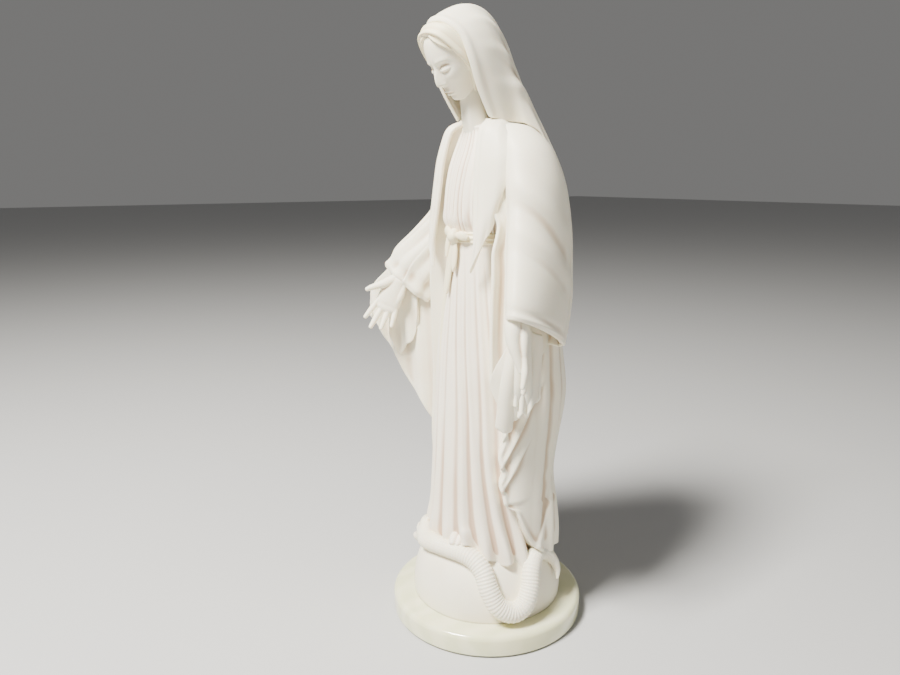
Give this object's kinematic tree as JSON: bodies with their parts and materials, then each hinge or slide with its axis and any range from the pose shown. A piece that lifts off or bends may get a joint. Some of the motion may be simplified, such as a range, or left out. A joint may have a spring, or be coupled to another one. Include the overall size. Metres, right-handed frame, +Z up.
{
  "type": "madonna statue",
  "caption": "Standing madonna statuette with a veil, a long pleated gown and open hands, treading on a serpent over a globe, on a round stone base.",
  "frame": {"origin": "centre of the flat underside of the felt pad", "axes": "+Z up, the figure faces -Y, its left hand is on +X"},
  "size_m": [0.1232, 0.0986, 0.3],
  "materials": {
    "felt": "pressed wool felt",
    "onyx": "polished pale green-yellow onyx",
    "steel": "zinc plated",
    "brass": "turned and knurled",
    "ivory_resin": "matt stone-filled cast resin",
    "cream_resin": "matt stone-filled cast resin with a cream wash"
  },
  "bodies": {
    "root": {"felt_pad": "felt", "base_disc": "onyx", "fixing_screw": "steel", "screw_washer": "steel", "threaded_insert": "brass", "globe": "ivory_resin", "serpent": "ivory_resin", "left_foot": "ivory_resin", "gown_skirt": "ivory_resin", "gown_bodice": "ivory_resin", "neck": "ivory_resin", "head": "ivory_resin", "mantle_back": "ivory_resin", "mantle_left": "ivory_resin", "mantle_right": "ivory_resin", "left_sleeve": "ivory_resin", "right_sleeve": "ivory_resin", "left_hand": "ivory_resin", "right_hand": "ivory_resin", "veil": "ivory_resin", "sash_band": "cream_resin", "sash_bow": "cream_resin", "sash_tails": "cream_resin", "hair": "cream_resin", "inner_veil": "cream_resin", "left_hand_dowel": "steel", "right_hand_dowel": "steel"}
  },
  "joints": []
}
